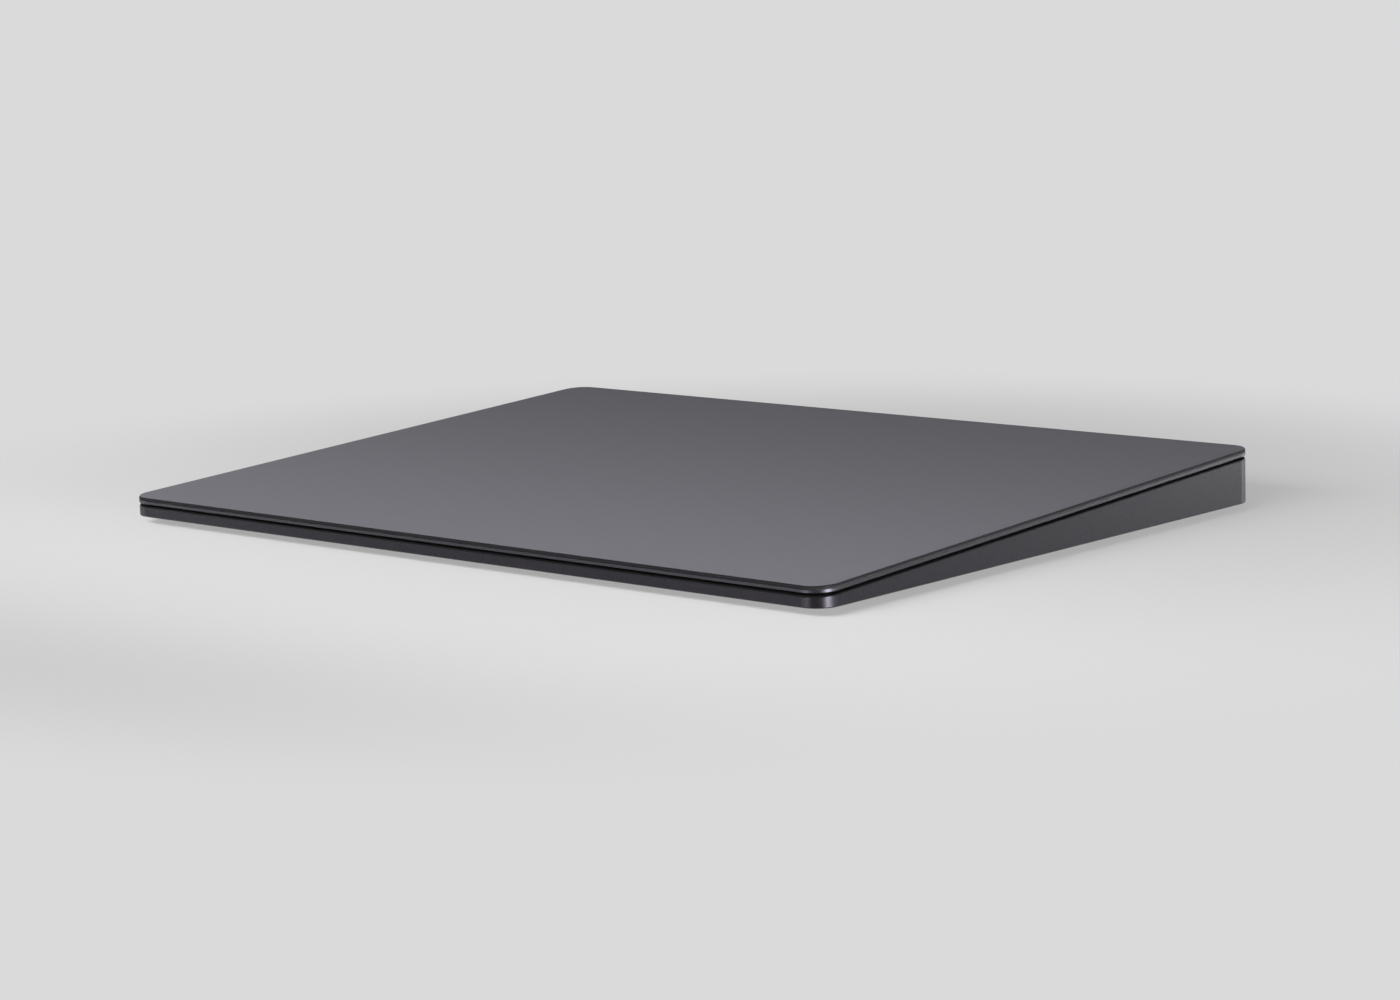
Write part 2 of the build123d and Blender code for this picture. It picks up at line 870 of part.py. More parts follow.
def switch_knob():
    """Ribbed knob in the slot."""
    knob_rear = depth / 2 - knob_set_back
    pill = SlotOverall(knob_length, slot_height - 2 * knob_side_gap)
    knob = rear_prism(pill, knob_x, port_z, carrier_rear, knob_rear)
    for number in range(rib_count):
        x = knob_x + (number - (rib_count - 1) / 2) * rib_pitch
        groove = Rectangle(rib_groove, slot_height)
        knob -= rear_prism(groove, x, port_z, knob_rear - rib_depth, knob_rear)
    return knob


def switch_indicator():
    """Green strip on the carrier, behind the wall until the switch is on."""
    right = knob_x - knob_length / 2 - indicator_gap
    high = slot_height / 2 + indicator_lap
    y = (carrier_rear, carrier_rear + indicator_thickness)
    return block((right - switch_travel, right), y, (port_z - high, port_z + high))


blade_names = ["front_left_blade", "front_right_blade", "rear_left_blade", "rear_right_blade"]
pieces = {
    "case_frame": case_frame(),
    "bottom_cover": bottom_cover(),
    "cover_adhesive": cover_adhesive(),
    "rubber_feet": rubber_feet(),
    "touch_glass": touch_glass(),
    "plate_rim": plate_rim(),
    "glass_adhesive": glass_adhesive(),
    "sensor_board": sensor_board(),
    "stiffener_adhesive": stiffener_adhesive(),
    "stiffener_plate": stiffener_plate(),
    "attraction_plate": attraction_plate(),
    "touch_chips": touch_chips(),
    "touch_socket_upper": touch_socket_upper(),
    "gel_pads": gel_pads(),
    "strain_gauges": strain_gauges(),
    "blade_screws": group(blade_screw(place) for place in blade_places),
    "battery_pouch": battery_pouch(),
    "battery_adhesive": battery_adhesive(),
    "battery_board": battery_board(),
    "battery_flex": battery_flex(),
    "battery_socket": socket(battery_socket_offset, battery_socket_width),
    "logic_board": logic_board(),
    "pan_screws": pan_screws(),
    "processor_chip": processor_chip(),
    "power_chips": power_chips(),
    "radio_module": radio_module(),
    "radio_shield": radio_shield(),
    "antenna_carrier": antenna_carrier(),
    "antenna_flex": antenna_flex(),
    "touch_socket_lower": socket(-touch_socket_offset, touch_socket_width),
    "touch_flex": touch_flex(),
    "haptic_socket": socket(haptic_flex_x, haptic_socket_width),
    "haptic_flex": haptic_flex(),
    "haptic_bracket": haptic_bracket(),
    "haptic_core": haptic_core(),
    "haptic_coils": haptic_coils(),
    "port_shell": port_shell(),
    "port_tongue": port_tongue(),
    "port_contacts": port_contacts(),
    "switch_housing": switch_housing(),
    "switch_lever": switch_lever(),
    "switch_carrier": switch_carrier(),
    "switch_knob": switch_knob(),
    "switch_indicator": switch_indicator(),
}
for name, place in zip(blade_names, blade_places):
    pieces[name] = blade(place)

os.makedirs("parts", exist_ok=True)
for name, shape in pieces.items():
    export_step(shape, f"parts/{name}.step")

print(f"front height {front_height:.3f}, rear height {rear_height:.3f}, slope rise {rise:.2f} over {depth:.1f}")
print(f"battery {2 * battery_half:.1f} x {battery_depth:.1f} x {battery_thickness:.2f}")
print(f"switch travel {switch_travel:.2f}, port middle at height {port_z:.2f}")
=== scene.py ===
import json
from math import atan, cos, radians, sin

import bmesh
import bpy
from mathutils import Matrix, Vector

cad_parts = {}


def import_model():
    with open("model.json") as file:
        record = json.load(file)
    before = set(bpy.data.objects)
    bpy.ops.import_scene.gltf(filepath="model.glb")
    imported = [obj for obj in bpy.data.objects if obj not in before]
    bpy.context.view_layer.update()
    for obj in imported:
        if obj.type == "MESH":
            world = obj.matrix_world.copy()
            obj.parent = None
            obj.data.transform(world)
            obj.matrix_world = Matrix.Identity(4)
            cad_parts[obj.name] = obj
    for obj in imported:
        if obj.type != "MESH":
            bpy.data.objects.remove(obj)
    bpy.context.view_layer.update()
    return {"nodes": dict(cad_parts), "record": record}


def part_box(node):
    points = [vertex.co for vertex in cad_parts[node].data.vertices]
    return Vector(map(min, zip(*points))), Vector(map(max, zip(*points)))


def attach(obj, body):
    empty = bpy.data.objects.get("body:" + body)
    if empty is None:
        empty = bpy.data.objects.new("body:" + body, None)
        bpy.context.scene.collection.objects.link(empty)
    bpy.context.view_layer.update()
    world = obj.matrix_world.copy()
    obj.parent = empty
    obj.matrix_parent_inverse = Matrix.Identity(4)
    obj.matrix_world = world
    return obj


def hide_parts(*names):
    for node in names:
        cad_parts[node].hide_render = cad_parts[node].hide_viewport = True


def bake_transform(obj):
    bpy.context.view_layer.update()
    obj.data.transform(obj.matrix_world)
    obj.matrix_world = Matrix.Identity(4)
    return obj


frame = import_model()

# The trackpad's looks, in metres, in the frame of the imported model. X runs to the right, Y to the
# rear and Z up.

MM = 0.001

# Sizes from the CAD model, in millimetres, with the touch surface's slope in radians
CASE_DEPTH = 114.9
CASE_RISE = 6.0
SLOPE = atan(CASE_RISE / CASE_DEPTH)
MIDDLE_HEIGHT = 7.90352
BLADE_X = 62.0
PAD_Y = 48.0
PAD_TOP = 1.85
PAD_THICKNESS = 0.35
PAD_WIDTH = 4.4
PAD_LENGTH = 5.0
PAD_ROUND = 0.8
COIL_COUNT = 4
COIL_PITCH = 11.0
COIL_WIDTH = 9.8
COIL_DEPTH = 13.8
COIL_WALL = 1.8
COIL_ROUND = 1.2
COIL_BORE_ROUND = 0.5

# How far a pad's side bulges and how far its ends are drawn in, in millimetres
PAD_BULGE = 0.1
PAD_INSET = 0.02

# Layers in a pad's side, and steps in a quarter turn of its outline
PAD_LAYERS = 8
PAD_STEPS = 6

# Sections that each bending part is cut into
BLADE_SECTIONS = 14
GAUGE_SECTIONS = 6
RIBBON_SECTIONS = 8

# Coil wire: turns up the outer face, layers across the wall, share of its pitch that it fills,
# smallest bend in millimetres, and steps in a quarter turn
COIL_TURNS = 5
COIL_LAYERS = 10
WIRE_FILL = 0.96
WIRE_BEND = 0.3
COIL_STEPS = 3

# Small parts and pins, in millimetres. Each pair is the first and last place in X of a row.
FRONT_PARTS = [(-62.0, -34.0), (-15.0, -2.5), (2.5, 13.0), (27.0, 41.0)]
REAR_PARTS = [(-49.0, -34.5), (25.0, 49.0)]
PART_PITCH = 1.7
PART_ROW = 0.9
PART_LENGTH = 1.0
PART_WIDTH = 0.5
PART_HEIGHT = 0.45
PART_CAP = 0.22
PART_BEVEL = 0.03
CAP_BEVEL = 0.04
PIN_PITCH = 0.5
PIN_WIDTH = 0.22
PIN_LENGTH = 0.35
PIN_HEIGHT = 0.12
PIN_BEVEL = 0.02

# Share of the ink's colour that the glass keeps at its edges, as painted shade on the plate's sides,
# and their roughness
EDGE_PAINTED_SHADE = 0.06
EDGE_ROUGHNESS = 0.28

# Upward part of a face's normal at which the face begins to count as looking up, and fully does
UPWARD_FROM = 0.9
UPWARD_FULL = 0.97

# Range that a noise mostly keeps to, and how many grains wide a patch of even roughness is
NOISE_LOW = 0.25
NOISE_HIGH = 0.75
PATCH = 6

# Period of Blender's wave texture at a scale of 1, in metres
WAVE_PERIOD = 0.314

# Circuit boards, in millimetres: distance between traces, width of a field of them, distance
# between vias, and the radii between which a via fades out, as shares of that distance
TRACE_PITCH = 0.4
TRACE_FIELD = 5.0
VIA_PITCH = 2.6
VIA_RADIUS_SHARES = (0.1, 0.13)

# Levels of light, where 1 shows white
BACKGROUND = 0.7
AMBIENT = 0.1

# Floor: its colour and radius, and the distances over which the lit paper gives way to an even
# glow, in metres, with the share that glows near the object
FLOOR_COLOR = (0.42, 0.42, 0.42)
FLOOR_RADIUS = 6.0
PAPER_NEAR = 0.09
PAPER_FAR = 0.2
PAPER_GLOW = 0.5

# Low softboxes: distance, height and aim in metres, then for each its name, its azimuth in
# degrees, its width in metres and its power in watts. Azimuth 0 is in front and 90 on the right.
LOW_BOX_REACH = 1.2
LOW_BOX_HEIGHT = 0.06
LOW_BOX_AIM = (0, -0.01, 0.02)
LOW_BOXES = [
    ("left_box", -60, 0.12, 6.0),
    ("front_left_box", -25, 0.14, 5.0),
    ("front_low_box", -8, 0.14, 9.0),
    ("right_box", 75.5, 0.25, 44.0),
    ("right_side_box", 88, 0.2, 18.0),
    ("corner_box", 114, 0.14, 6.0),
    ("rear_right_box", 154, 0.14, 14.0),
]


# Shader nodes


def feed(tree, socket, value):
    """Gives an input a constant value, or links it where the value is another node's output."""
    if isinstance(value, bpy.types.NodeSocket):
        tree.links.new(value, socket)
    else:
        socket.default_value = value


def node(tree, kind, inputs=None, **settings):
    """New node with its settings and with the values or outputs that feed its inputs."""
    made = tree.nodes.new(kind)
    for name, value in settings.items():
        setattr(made, name, value)
    for socket, value in (inputs or {}).items():
        feed(tree, made.inputs[socket], value)
    return made


def object_place(tree):
    """Place in object space."""
    return node(tree, "ShaderNodeTexCoord").outputs["Object"]


def arithmetic(tree, operation, one, other):
    """Result of one operation on two values."""
    return node(tree, "ShaderNodeMath", {0: one, 1: other}, operation=operation).outputs["Value"]


def ramp(tree, value, start, end, low=0.0, high=1.0, **settings):
    """Value that runs from low to high as another one runs from start to end."""
    inputs = {"Value": value, "From Min": start, "From Max": end, "To Min": low, "To Max": high}
    return node(tree, "ShaderNodeMapRange", inputs, **settings).outputs["Result"]


def spread(tree, noise, low=0.0, high=1.0):
    """Value that runs from low to high as a noise runs over its usual range."""
    return ramp(tree, noise, NOISE_LOW, NOISE_HIGH, low, high)


def mixed(tree, kind, factor, low, high):
    """Number or colour, as kind says, that runs from low to high with factor."""
    inputs = {"Factor": factor, "A": low, "B": high}
    return node(tree, "ShaderNodeMix", inputs, data_type=kind).outputs["Result"]


def shade(color, factor):
    """Opaque colour made lighter or darker by a factor."""
    return (*(min(1.0, c * factor) for c in color), 1)


def varied(tree, factor, color, low, high):
    """Colour that runs from low times itself to high times itself with factor."""
    return mixed(tree, "RGBA", factor, shade(color, low), shade(color, high))


def grain(tree, size, stretch=(1, 1, 1)):
    """Noise in object space whose cells are about size metres, drawn out by stretch."""
    inputs = {"Vector": object_place(tree), "Scale": [1 / (size * s) for s in stretch]}
    scaled = node(tree, "ShaderNodeMapping", inputs).outputs["Vector"]
    noise = node(tree, "ShaderNodeTexNoise", {"Vector": scaled, "Scale": 1.0, "Detail": 2.0})
    return noise.outputs["Fac"]


def upward(tree):
    """1 on faces that look up, along the touch surface or level, and 0 on walls and chamfers."""
    facing = node(tree, "ShaderNodeNewGeometry").outputs["Normal"]
    split = node(tree, "ShaderNodeSeparateXYZ", {"Vector": facing})
    return ramp(tree, split.outputs["Z"], UPWARD_FROM, UPWARD_FULL)


def principled(name, values):
    """New material with constant values on its shader, and the node tree to build on."""
    made = bpy.data.materials.new(name)
    made.use_nodes = True
    shader = made.node_tree.nodes["Principled BSDF"]
    for socket, value in values.items():
        shader.inputs[socket].default_value = value
    return made, made.node_tree, shader


def coat(tree, shader, color, roughness, height, depth):
    """Gives a shader its colour, its roughness and a bump.

    The bump is depth metres deep and follows a height between 0 and 1."""
    bump = node(tree, "ShaderNodeBump", {"Strength": 1.0, "Distance": depth, "Height": height})
    inputs = {"Base Color": color, "Roughness": roughness, "Normal": bump.outputs["Normal"]}
    for socket, value in inputs.items():
        feed(tree, shader.inputs[socket], value)


def lay_over(tree, factor, over):
    """Lays another shader over the material's own one by factor."""
    own = tree.nodes["Principled BSDF"].outputs["BSDF"]
    mix = node(tree, "ShaderNodeMixShader", {"Fac": factor, 1: own, 2: over})
    feed(tree, tree.nodes["Material Output"].inputs["Surface"], mix.outputs["Shader"])


# Materials, with their grains and bumps in millimetres times MM


def grained(name, color, change, roughness, size, depth, stretch=(1, 1, 1), sockets=None):
    """Material whose colour and bump follow a fine grain and whose roughness follows a coarse one.

    change is the share by which the colour varies, and roughness is (lowest, highest)."""
    made, tree, shader = principled(name, sockets or {})
    fine = grain(tree, size, stretch)
    color_out = varied(tree, spread(tree, fine), color, low=1 - change, high=1 + change)
    rough = spread(tree, grain(tree, size * PATCH, stretch), *roughness)
    coat(tree, shader, color_out, rough, fine, depth)
    return made


def metal(name, color, roughness, change, size, depth, stretch=(1, 1, 1)):
    """Metal with a fine grain."""
    return grained(name, color, change, roughness, size, depth, stretch, {"Metallic": 1.0})


def anodised(name, color, roughness):
    """Dark anodised aluminium with a fine bead-blasted grain."""
    return metal(name, color, roughness, change=0.06, size=0.09 * MM, depth=0.0005 * MM)


def steel(name, color, roughness, stretch=(8, 1, 1)):
    """Steel with a fine grain, brushed along the axis that stretch draws out."""
    return metal(name, color, roughness, change=0.08, size=0.12 * MM, depth=0.002 * MM, stretch=stretch)


def plastic(name, color, roughness, size=0.25 * MM, depth=0.004 * MM):
    """Moulded plastic, film or rubber with a soft grain."""
    return grained(name, color, 0.08, roughness, size, depth, sockets={"IOR": 1.48})


def case_metal(name, color, roughness):
    """Anodised metal with near-black matte upward faces: painted shade that keeps the gap under the
    plate dark.
    """
    made = anodised(name, color, roughness)
    tree = made.node_tree
    fine = grain(tree, size=0.2 * MM)
    # Painted shade: a near-black matte coat laid over the upward faces, the wall tops in the gap and
    # the inner floor
    painted_shade = node(tree, "ShaderNodeBsdfPrincipled", {
        "Base Color": varied(tree, fine, (0.004, 0.004, 0.004), low=0.75, high=1.25),
        "Roughness": spread(tree, fine, low=0.85, high=0.95),
        "Specular IOR Level": 0.02,
        "IOR": 1.4,
    })
    lay_over(tree, upward(tree), painted_shade.outputs["BSDF"])
    return made


def touch_glass(name, color):
    """Etched glass over dark ink, with smoother edges darkened by painted shade."""
    made, tree, shader = principled(name, {"IOR": 1.5, "Specular IOR Level": 0.02})
    flat = upward(tree)
    etched = grain(tree, size=0.07 * MM)
    face = varied(tree, spread(tree, etched), color, low=0.95, high=1.05)
    # The plate's edges take a darker copy of the ink's colour: painted shade on its sides
    color_out = mixed(tree, "RGBA", flat, shade(color, EDGE_PAINTED_SHADE), face)
    matte = spread(tree, grain(tree, size=0.5 * MM), low=0.68, high=0.72)
    rough = mixed(tree, "FLOAT", flat, EDGE_ROUGHNESS, matte)
    coat(tree, shader, color_out, rough, etched, depth=0.0006 * MM)
    return made


def laminated(name, color, roughness, pitch, depth):
    """Metal with fine parallel ridges across Y, such as stacked sheets."""
    made, tree, shader = principled(name, {"Metallic": 1.0})
    inputs = {
        "Vector": object_place(tree),
        "Scale": WAVE_PERIOD / pitch,
        "Distortion": 0.15,
        "Detail": 1.0,
    }
    wave = node(tree, "ShaderNodeTexWave", inputs, bands_direction="Y").outputs["Fac"]
    color_out = varied(tree, wave, color, low=0.55, high=1.1)
    rough = spread(tree, grain(tree, size=0.8 * MM), *roughness)
    coat(tree, shader, color_out, rough, wave, depth)
    return made


def board_traces(tree, place):
    """1 on thin lines that run along X in some fields of the board and along Y in the others."""
    cells = {"Vector": place, "Scale": 1 / (TRACE_FIELD * MM)}
    fields = node(tree, "ShaderNodeTexVoronoi", cells, feature="F1", distance="CHEBYCHEV")
    split = node(tree, "ShaderNodeSeparateColor", {"Color": fields.outputs["Color"]})
    turned = arithmetic(tree, "GREATER_THAN", split.outputs["Red"], 0.5)
    bands = {"Vector": place, "Scale": WAVE_PERIOD / (TRACE_PITCH * MM)}
    along_x = node(tree, "ShaderNodeTexWave", bands, bands_direction="Y").outputs["Fac"]
    along_y = node(tree, "ShaderNodeTexWave", bands, bands_direction="X").outputs["Fac"]
    return ramp(tree, mixed(tree, "FLOAT", turned, along_x, along_y), start=0.6, end=0.8)


def circuit_board(name, mask, tin):
    """Solder mask with raised traces and small tinned vias."""
    made, tree, shader = principled(name, {"IOR": 1.5})
    place = object_place(tree)
    trace = board_traces(tree, place)
    cells = {"Vector": place, "Scale": 1 / (VIA_PITCH * MM), "Randomness": 0.9}
    dots = node(tree, "ShaderNodeTexVoronoi", cells, feature="F1").outputs["Distance"]
    via = ramp(tree, dots, *VIA_RADIUS_SHARES, low=1.0, high=0.0)
    feed(tree, shader.inputs["Metallic"], via)
    lacquer = varied(tree, trace, mask, low=1.0, high=1.7)
    color_out = mixed(tree, "RGBA", via, lacquer, (*tin, 1))
    rough = spread(tree, grain(tree, size=0.6 * MM), low=0.28, high=0.36)
    coat(tree, shader, color_out, rough, trace, depth=0.004 * MM)
    return made


def gel(name, color):
    """Soft clear gel that scatters light."""
    values = {"IOR": 1.42, "Subsurface Weight": 0.6, "Subsurface Scale": 0.5 * MM}
    made, tree, shader = principled(name, values)
    cloud = grain(tree, size=1.2 * MM)
    color_out = varied(tree, spread(tree, cloud), color, low=0.92, high=1.06)
    coat(tree, shader, color_out, spread(tree, cloud, low=0.22, high=0.3), cloud, depth=0.01 * MM)
    return made


def pouch_foil(name, color):
    """Laminated foil with the soft wrinkles of a sealed pouch."""
    made, tree, shader = principled(name, {"Metallic": 1.0})
    wrinkle = grain(tree, size=3 * MM, stretch=(1, 2.5, 1))
    fine = grain(tree, size=0.2 * MM)
    color_out = varied(tree, spread(tree, fine), color, low=0.93, high=1.05)
    coat(tree, shader, color_out, spread(tree, wrinkle, low=0.3, high=0.4), wrinkle, depth=0.08 * MM)
    return made


def slot_materials():
    """One material for each slot of the record."""
    return {
        "anodised_metal": case_metal("anodised_metal", (0.0188, 0.0177, 0.0212), (0.27, 0.3)),
        # The rim takes the case's anodised colour about 1.4 times lighter: painted light on the rim's
        # band
        "rim_metal": anodised("rim_metal", (0.027, 0.0256, 0.0304), (0.3, 0.34)),
        "knob_metal": anodised("knob_metal", (0.06, 0.06, 0.066), (0.36, 0.4)),
        "base_sheet": grained("base_sheet", (0.05, 0.05, 0.054), change=0.1, roughness=(0.5, 0.6),
                              size=0.2 * MM, depth=0.003 * MM, sockets={"Metallic": 0.6}),
        "touch_glass": touch_glass("touch_glass", (0.095, 0.0935, 0.105)),
        "foot_rubber": plastic("foot_rubber", (0.03, 0.03, 0.032), (0.6, 0.75),
                               size=0.3 * MM, depth=0.012 * MM),
        "glue_film": plastic("glue_film", (0.05, 0.05, 0.05), (0.7, 0.8)),
        "board": circuit_board("board", (0.01, 0.042, 0.03), (0.6, 0.58, 0.52)),
        "spring_steel": steel("spring_steel", (0.55, 0.55, 0.56), (0.25, 0.35), (1, 8, 1)),
        "stiffener_steel": steel("stiffener_steel", (0.45, 0.45, 0.46), (0.3, 0.42)),
        "screw_steel": steel("screw_steel", (0.4, 0.4, 0.41), (0.22, 0.32), (1, 1, 1)),
        "motor_steel": laminated("motor_steel", (0.32, 0.32, 0.33), (0.3, 0.4),
                                 pitch=0.35 * MM, depth=0.01 * MM),
        "coil_copper": metal("coil_copper", (0.62, 0.26, 0.12), (0.22, 0.34),
                             change=0.14, size=0.1 * MM, depth=0.002 * MM),
        "gel": gel("gel", (0.55, 0.5, 0.42)),
        "battery_foil": pouch_foil("battery_foil", (0.42, 0.42, 0.44)),
        "flex_film": plastic("flex_film", (0.42, 0.2, 0.04), (0.25, 0.35)),
        "black_plastic": plastic("black_plastic", (0.03, 0.03, 0.032), (0.42, 0.55)),
        "chip_black": plastic("chip_black", (0.025, 0.025, 0.027), (0.5, 0.6)),
        "can_steel": steel("can_steel", (0.6, 0.6, 0.58), (0.28, 0.36)),
        "contact_gold": metal("contact_gold", (0.8, 0.58, 0.22), (0.2, 0.28),
                              change=0.06, size=0.1 * MM, depth=0.001 * MM),
        "port_steel": steel("port_steel", (0.5, 0.5, 0.5), (0.25, 0.35), (1, 8, 1)),
        "indicator_green": plastic("indicator_green", (0.05, 0.5, 0.12), (0.3, 0.36)),
    }


def dress_nodes(materials):
    """Gives every CAD node the material of its slot."""
    for row in frame["record"]["subparts"]:
        mesh = frame["nodes"][row["node"]].data
        mesh.materials.clear()
        mesh.materials.append(materials[row["material_slot"]])


# Shapes


def placed(name, data):
    """New object of a mesh, lamp or camera in the scene."""
    made = bpy.data.objects.new(name, data)
    bpy.context.scene.collection.objects.link(made)
    return made


def linked(name, mesh, materials, slot, body=None):
    """New object of a mesh with its slot and material, riding on a body if one is named."""
    mesh.materials.clear()
    mesh.materials.append(materials[slot])
    made = placed(name, mesh)
    if body:
        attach(made, body)
    return made


def smoothed(shape, mesh, sharp):
    """Mesh that takes a shape, smooth but for edges sharper than that angle in degrees."""
    shape.to_mesh(mesh)
    shape.free()
    if "custom_normal" in mesh.attributes:
        mesh.attributes.remove(mesh.attributes["custom_normal"])
    mesh.shade_smooth()
    mesh.set_sharp_from_angle(angle=radians(sharp))
    return mesh


def finished(shape, name, sharp=40):
    """New mesh of a finished shape with its faces turned outwards."""
    bmesh.ops.recalc_face_normals(shape, faces=shape.faces)
    return smoothed(shape, bpy.data.meshes.new(name), sharp)


def sliced(node_name, across, count, keep=None):
    """Mesh of a CAD node cut into count sections across an axis.

    keep picks the vertices that stay, where only some of the node's solids are wanted."""
    mesh = frame["nodes"][node_name].data.copy()
    shape = bmesh.new()
    shape.from_mesh(mesh)
    bmesh.ops.remove_doubles(shape, verts=shape.verts, dist=0.0001 * MM)
    if keep:
        bmesh.ops.delete(shape, geom=[v for v in shape.verts if not keep(v.co)], context="VERTS")
    low = Vector([min(v.co[i] for v in shape.verts) for i in range(3)])
    high = Vector([max(v.co[i] for v in shape.verts) for i in range(3)])
    for number in range(1, count):
        geometry = shape.verts[:] + shape.edges[:] + shape.faces[:]
        cut = low.lerp(high, number / count)
        bmesh.ops.bisect_plane(shape, geom=geometry, plane_co=cut, plane_no=across)
    return smoothed(shape, mesh, sharp=30)


def rounded_loop(half_x, half_y, corner, steps):
    """Points and outward directions once round a rounded rectangle."""
    loop = []
    for quarter, (side, end) in enumerate(((1, 1), (-1, 1), (-1, -1), (1, -1))):
        for step in range(steps + 1):
            turn = radians(90 * (quarter + step / steps))
            out = Vector((cos(turn), sin(turn), 0))
            middle = Vector((side * (half_x - corner), end * (half_y - corner), 0))
            loop.append((middle + out * corner, out))
    return loop


def tube(shape, path, radius, sides=6):
    """Unbroken tube along points that each come with an outward direction."""
    up = Vector((0, 0, 1))
    turns = [radians(360 * i / sides) for i in range(sides)]
    rings = []
    for spot, out in path:
        rings.append([shape.verts.new(spot + (out * cos(t) + up * sin(t)) * radius) for t in turns])
    for one, other in zip(rings, rings[1:]):
        for i in range(sides):
            after = (i + 1) % sides
            shape.faces.new((one[i], one[after], other[after], other[i]))
    shape.faces.new(rings[0][::-1])
    shape.faces.new(rings[-1])


def ring_block(shape, middle, outer, inner, low, high):
    """Closed ring with a rounded outline between two heights. outer and inner are loops."""
    levels = []
    for loop, z in ((outer, low), (outer, high), (inner, high), (inner, low)):
        levels.append([shape.verts.new(middle + spot + Vector((0, 0, z))) for spot, out in loop])
    for one, other in zip(levels, levels[1:] + levels[:1]):
        for i, corner in enumerate(one):
            after = (i + 1) % len(one)
            shape.faces.new((corner, one[after], other[after], other[i]))


def bevelled_block(shape, low, high, bevel):
    """Block between two corners with bevelled edges."""
    size = high - low
    place = Matrix.Translation((low + high) / 2) @ Matrix.Diagonal((*size, 1))
    made = bmesh.ops.create_cube(shape, size=1, matrix=place)
    edges = {edge for vert in made["verts"] for edge in vert.link_edges}
    bmesh.ops.bevel(shape, geom=list(edges), offset=bevel, segments=2, affect="EDGES")


# Pieces that bend or give, which the CAD model keeps stiff


def blade_springs(materials):
    """Spring blades and their gauges, cut into sections along Y, which in the trackpad are held by the
    case at the foot and pressed down at the free end.
    """
    for end in ("front", "rear"):
        side = -1 if end == "front" else 1
        for hand in ("left", "right"):
            name = f"{end}_{hand}_blade"
            mesh = sliced(name, (0, 1, 0), BLADE_SECTIONS)
            spring = linked(f"{end}_{hand}_spring", mesh, materials, "spring_steel")
            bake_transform(spring)
            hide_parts(name)
        mesh = sliced("strain_gauges", (0, 1, 0), GAUGE_SECTIONS, keep=lambda spot: spot.y * side > 0)
        gauges = linked(f"{end}_gauges", mesh, materials, "flex_film")
        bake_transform(gauges)
        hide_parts("strain_gauges")


def touch_ribbon(materials):
    """Folded ribbon, cut into sections up Z, which in the trackpad stays on the logic board below and
    goes down with the plate above.
    """
    mesh = sliced("touch_flex", (0, 0, 1), RIBBON_SECTIONS)
    ribbon = linked("touch_ribbon", mesh, materials, "flex_film")
    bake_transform(ribbon)
    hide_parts("touch_flex")


def under_touch(x, y, below):
    """Place at x and y along the touch surface and below under it, all in millimetres."""
    along = Vector((0, cos(SLOPE), sin(SLOPE)))
    up = Vector((0, -sin(SLOPE), cos(SLOPE)))
    return (Vector((x, 0, MIDDLE_HEIGHT)) + along * y - up * below) * MM


def pad_ring(shape, x, y, below, grow):
    """Ring of vertices round a pad at one depth, grown outwards by grow."""
    loop = rounded_loop(PAD_WIDTH / 2 + grow, PAD_LENGTH / 2 + grow, PAD_ROUND, PAD_STEPS)
    return [shape.verts.new(under_touch(x + spot.x, y + spot.y, below)) for spot, out in loop]


def gel_cushions(materials):
    """Four gel pads that bulge a little between the plate and the blades."""
    shape = bmesh.new()
    for x in (-BLADE_X, BLADE_X):
        for y in (-PAD_Y, PAD_Y):
            layers = []
            for number in range(PAD_LAYERS + 1):
                share = number / PAD_LAYERS
                grow = PAD_BULGE * (1 - (2 * share - 1) ** 2) - PAD_INSET
                layers.append(pad_ring(shape, x, y, PAD_TOP + PAD_THICKNESS * share, grow))
            for upper, lower in zip(layers, layers[1:]):
                for i, one in enumerate(upper):
                    after = (i + 1) % len(upper)
                    shape.faces.new((one, lower[i], lower[after], upper[after]))
            shape.faces.new(layers[0])
            shape.faces.new(layers[-1][::-1])
    mesh = finished(shape, "gel_cushions", sharp=50)
    pads = linked("gel_cushions", mesh, materials, "gel", "suspension")
    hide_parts("gel_pads")


# Windings and small parts inside


def coil_path(middle, low, high, wire):
    """Route of one coil's wire: up the outer face and then inwards over the top."""
    path = []
    per_turn = len(rounded_loop(COIL_WIDTH, COIL_DEPTH, COIL_ROUND, COIL_STEPS))
    climb = COIL_TURNS * per_turn
    inwards = (COIL_LAYERS - 1) * per_turn
    for number in range(climb + inwards):
        inset = wire / 2 + wire * max(0, number - climb) / per_turn
        corner = max(COIL_ROUND * MM - inset, WIRE_BEND * MM)
        half_x = COIL_WIDTH / 2 * MM - inset
        half_y = COIL_DEPTH / 2 * MM - inset
        spot, out = rounded_loop(half_x, half_y, corner, COIL_STEPS)[number % per_turn]
        height = low + wire / 2 + (high - low - wire) * min(1, number / climb)
        path.append((middle + spot + Vector((0, 0, height)), out))
    return path


def coil_windings(materials):
    """Four coils with their turns of wire round the poles of the haptic motor."""
    low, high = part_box("haptic_coils")
    shape = bmesh.new()
    wire = COIL_WALL * MM / COIL_LAYERS
    half = Vector((COIL_WIDTH / 2, COIL_DEPTH / 2)) * MM
    core = half - Vector((wire / 2, wire / 2))
    bore = half - Vector((COIL_WALL, COIL_WALL)) * MM
    for number in range(COIL_COUNT):
        x = (number - (COIL_COUNT - 1) / 2) * COIL_PITCH * MM
        middle = Vector((x, (low.y + high.y) / 2, 0))
        tube(shape, coil_path(middle, low.z, high.z, wire), wire / 2 * WIRE_FILL)
        outer = rounded_loop(core.x, core.y, COIL_ROUND * MM, COIL_STEPS)
        inner = rounded_loop(bore.x, bore.y, COIL_BORE_ROUND * MM, COIL_STEPS)
        ring_block(shape, middle, outer, inner, low.z, high.z - wire / 2)
    mesh = finished(shape, "coil_windings")
    coils = linked("coil_windings", mesh, materials, "coil_copper", "case")
    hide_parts("haptic_coils")


